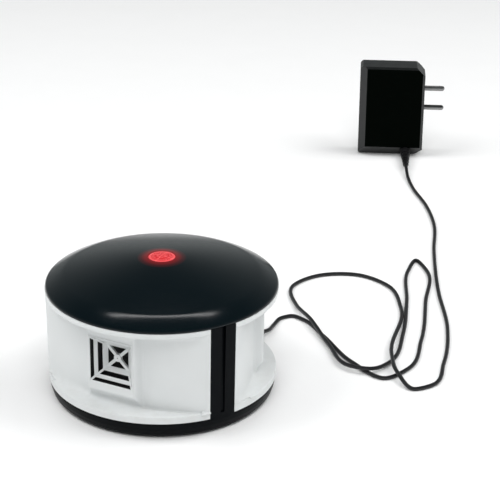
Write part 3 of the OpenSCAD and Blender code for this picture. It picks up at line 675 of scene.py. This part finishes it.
def panel_grid():
    """Outer and inner points of one panel, and which of its cells are left: each column climbs
    the outside of the ledge, runs in along its top, climbs the wall and goes out to the band."""
    turn, edge = panel_columns()
    low, high = GRILLE_Z - OPENING, GRILLE_Z + OPENING
    wall_z = np.unique(np.round(np.concatenate([
        np.linspace(LEDGE_Z, LEDGE_Z + 2, 9), np.linspace(LEDGE_Z + 2, low, 26),
        np.linspace(low, high, 24), np.linspace(high, BAND_Z - FLARE, 5),
        np.linspace(BAND_Z - FLARE, BAND_Z, 25)]), 4))
    columns = turn[None, :]
    wall_r = panel_radius(columns, wall_z[:, None] + 0 * columns)
    rim_r, rim_z = LEDGE_R - LEDGE_ROUND, LEDGE_Z - LEDGE_ROUND
    start = np.minimum(wall_r[0], rim_r)[None, :]
    groove = 1 / (1 + np.exp(-(np.degrees(columns) - GROOVE_FROM) / 0.8))
    groove = groove / (1 + np.exp((np.degrees(columns) - GROOVE_TO) / 2.5))
    rows_r, rows_z = [], []
    for height in np.linspace(PANEL_FOOT, rim_z, 5):
        rows_r.append(LEDGE_R + 0 * columns)
        rows_z.append(height + 0 * columns)
    for point in arc((rim_r, rim_z), LEDGE_ROUND, 20, 90, 5):
        rows_r.append(point[0] + 0 * columns)
        rows_z.append(point[1] + 0 * columns)
    for u in np.linspace(0, 1, 12)[1:]:
        rows_r.append(rim_r + (start + 0.55 - LEDGE_R + LEDGE_ROUND) * u)
        rows_z.append(LEDGE_Z - LEDGE_DIP * u * (1 - u) + 0 * columns)
    for back in (0.5, 0.12):
        rows_r.append(start + back)
        rows_z.append(LEDGE_Z - GROOVE_DEPTH * groove)
    count = len(rows_r)
    rows_r = np.vstack(rows_r + [np.minimum(wall_r, BAND_R)])
    rows_z = np.vstack(rows_z + [wall_z[:, None] + 0 * columns])
    top_r, top_z = [], []
    for point in [*arc((BAND_R - LIP_ROUND, BAND_Z + LIP_ROUND), LIP_ROUND, -60, 0, 4),
                  (BAND_R + 0.05, PANEL_LIP - 0.05), (BAND_R - 2.5, PANEL_LIP)]:
        top_r.append(point[0] + 0 * columns)
        top_z.append(point[1] + 0 * columns)
    r = np.vstack([rows_r, *top_r])
    z = np.vstack([rows_z, *top_z])
    slope_r, slope_z = np.gradient(r, axis=0), np.gradient(z, axis=0)
    size = np.hypot(slope_r, slope_z) + 1e-9
    inner_r = r - PANEL_THICK * slope_z / size
    inner_z = z + PANEL_THICK * slope_r / size
    mid_turn = (turn[1:] + turn[:-1]) / 2
    mid_z = (z[1:, 0] + z[:-1, 0]) / 2
    open_rows = (mid_z > low) & (mid_z < high) & (np.arange(len(mid_z)) >= count)
    inside = (np.abs(mid_turn) < edge)[None, :] & open_rows[:, None]
    return turn, r, z, inner_r, inner_z, ~inside


def shell_faces(rows, columns, keep):
    """Quads of the outer and inner skins and of every rim between a kept cell and a gap."""
    outer = cells(rows, columns)[keep.ravel()]
    size = rows * columns
    inner = outer[:, ::-1] + size
    number = np.arange(size).reshape(rows, columns)
    padded = np.pad(keep, 1)
    rims = []
    above, below = padded[:-1, 1:-1], padded[1:, 1:-1]
    a, b = number[:, :-1], number[:, 1:]
    for cell, first, second in ((below & ~above, b, a), (above & ~below, a, b)):
        rims.append(np.stack([first[cell], second[cell], second[cell] + size,
                              first[cell] + size], -1))
    before, after = padded[1:-1, :-1], padded[1:-1, 1:]
    a, b = number[:-1], number[1:]
    for cell, first, second in ((after & ~before, a, b), (before & ~after, b, a)):
        rims.append(np.stack([first[cell], second[cell], second[cell] + size,
                              first[cell] + size], -1))
    return np.vstack([outer, inner, *rims])


def place_round(turn, r, z, azimuth):
    """Points at an angle from a speaker's axis, turned to that speaker's azimuth."""
    angle = turn + math.radians(azimuth)
    return np.stack(np.broadcast_arrays(r * np.sin(angle), -r * np.cos(angle), z), -1)


def make_panels():
    """The same panel three times; points that no face uses are dropped."""
    turn, r, z, inner_r, inner_z, keep = panel_grid()
    faces = shell_faces(*r.shape, keep)
    used, number = np.unique(faces, return_inverse=True)
    number = number.reshape(faces.shape)
    for side, azimuth in (("front", 0), ("right", 120), ("left", 240)):
        points = np.vstack([place_round(turn, r, z, azimuth).reshape(-1, 3),
                            place_round(turn, inner_r, inner_z, azimuth).reshape(-1, 3)])
        piece(f"wall_{side}", points[used], [number], "white_plastic",
              FINISHES["white_plastic"], [f"panel_{side}"], 40)


make_panels()

# ---------------------------------------------------------------- floor and light


def make_stage():
    """Pale seamless floor."""
    finish = Finish("pale_floor")
    grain = finish.noise(40, 3)
    material = finish.surface(
        Base_Color=finish.blend(grain, (0.93, 0.93, 0.93), (0.95, 0.95, 0.95)), Roughness=0.9,
        Specular_IOR_Level=0.1)
    mesh = bpy.data.meshes.new("floor")
    half = 6.0
    corners = [(-half, -half, 0), (half, -half, 0), (half, half, 0), (-half, half, 0)]
    mesh.from_pydata(corners, [], [(0, 1, 2, 3)])
    mesh.materials.append(material)
    floor = bpy.data.objects.new("floor", mesh)
    bpy.context.scene.collection.objects.link(floor)


# the sky's strength near the horizon and high up, and the heights between which it fades
SKY_LOW, SKY_HIGH = 0.42, 0.06
FADE_FROM, FADE_TO = 0.1, 0.75


def soft_box(name, azimuth, elevation, distance, width, watts, height=0.0):
    """Lamp that faces the drum from an azimuth and elevation in degrees."""
    a, e = degrees(azimuth, elevation)
    data = bpy.data.lights.new(name, "AREA")
    data.shape, data.size, data.size_y = "RECTANGLE", width, height or width
    data.energy = watts
    lamp = bpy.data.objects.new(name, data)
    away = Vector((math.sin(a) * math.cos(e), -math.cos(a) * math.cos(e), math.sin(e)))
    lamp.location = AIM + away * distance
    lamp.rotation_mode = "QUATERNION"
    lamp.rotation_quaternion = away.to_track_quat("Z", "Y")
    bpy.context.scene.collection.objects.link(lamp)
    return lamp


def make_light():
    """A dim sky, palest at the horizon, with two big lamps to the sides, one in front for the
    floor, and a narrow strip behind that the lid's ridge picks up."""
    world = bpy.data.worlds.new("studio")
    world.use_nodes = True
    nodes, links = world.node_tree.nodes, world.node_tree.links
    way = nodes.new("ShaderNodeTexCoord")
    split = nodes.new("ShaderNodeSeparateXYZ")
    fade = nodes.new("ShaderNodeMapRange")
    for end, value in (("From Min", FADE_FROM), ("From Max", FADE_TO),
                       ("To Min", SKY_LOW), ("To Max", SKY_HIGH)):
        fade.inputs[end].default_value = value
    links.new(way.outputs["Generated"], split.inputs[0])
    links.new(split.outputs["Z"], fade.inputs["Value"])
    shade = nodes["Background"]
    shade.inputs["Color"].default_value = (0.95, 1.0, 1.0, 1)
    links.new(fade.outputs[0], shade.inputs["Strength"])
    bpy.context.scene.world = world
    bpy.context.scene.view_settings.view_transform = "Standard"
    soft_box("left_box", -62, 50, 2.4, 1.5, 27).visible_glossy = False
    soft_box("right_box", 122, 50, 2.4, 1.5, 30).visible_glossy = False
    soft_box("front_box", 30, 55, 2.6, 1.4, 27).visible_glossy = False
    soft_box("ridge_strip", 210, 70, 1.6, 1.1, 3.7, 0.08)


make_stage()
make_light()
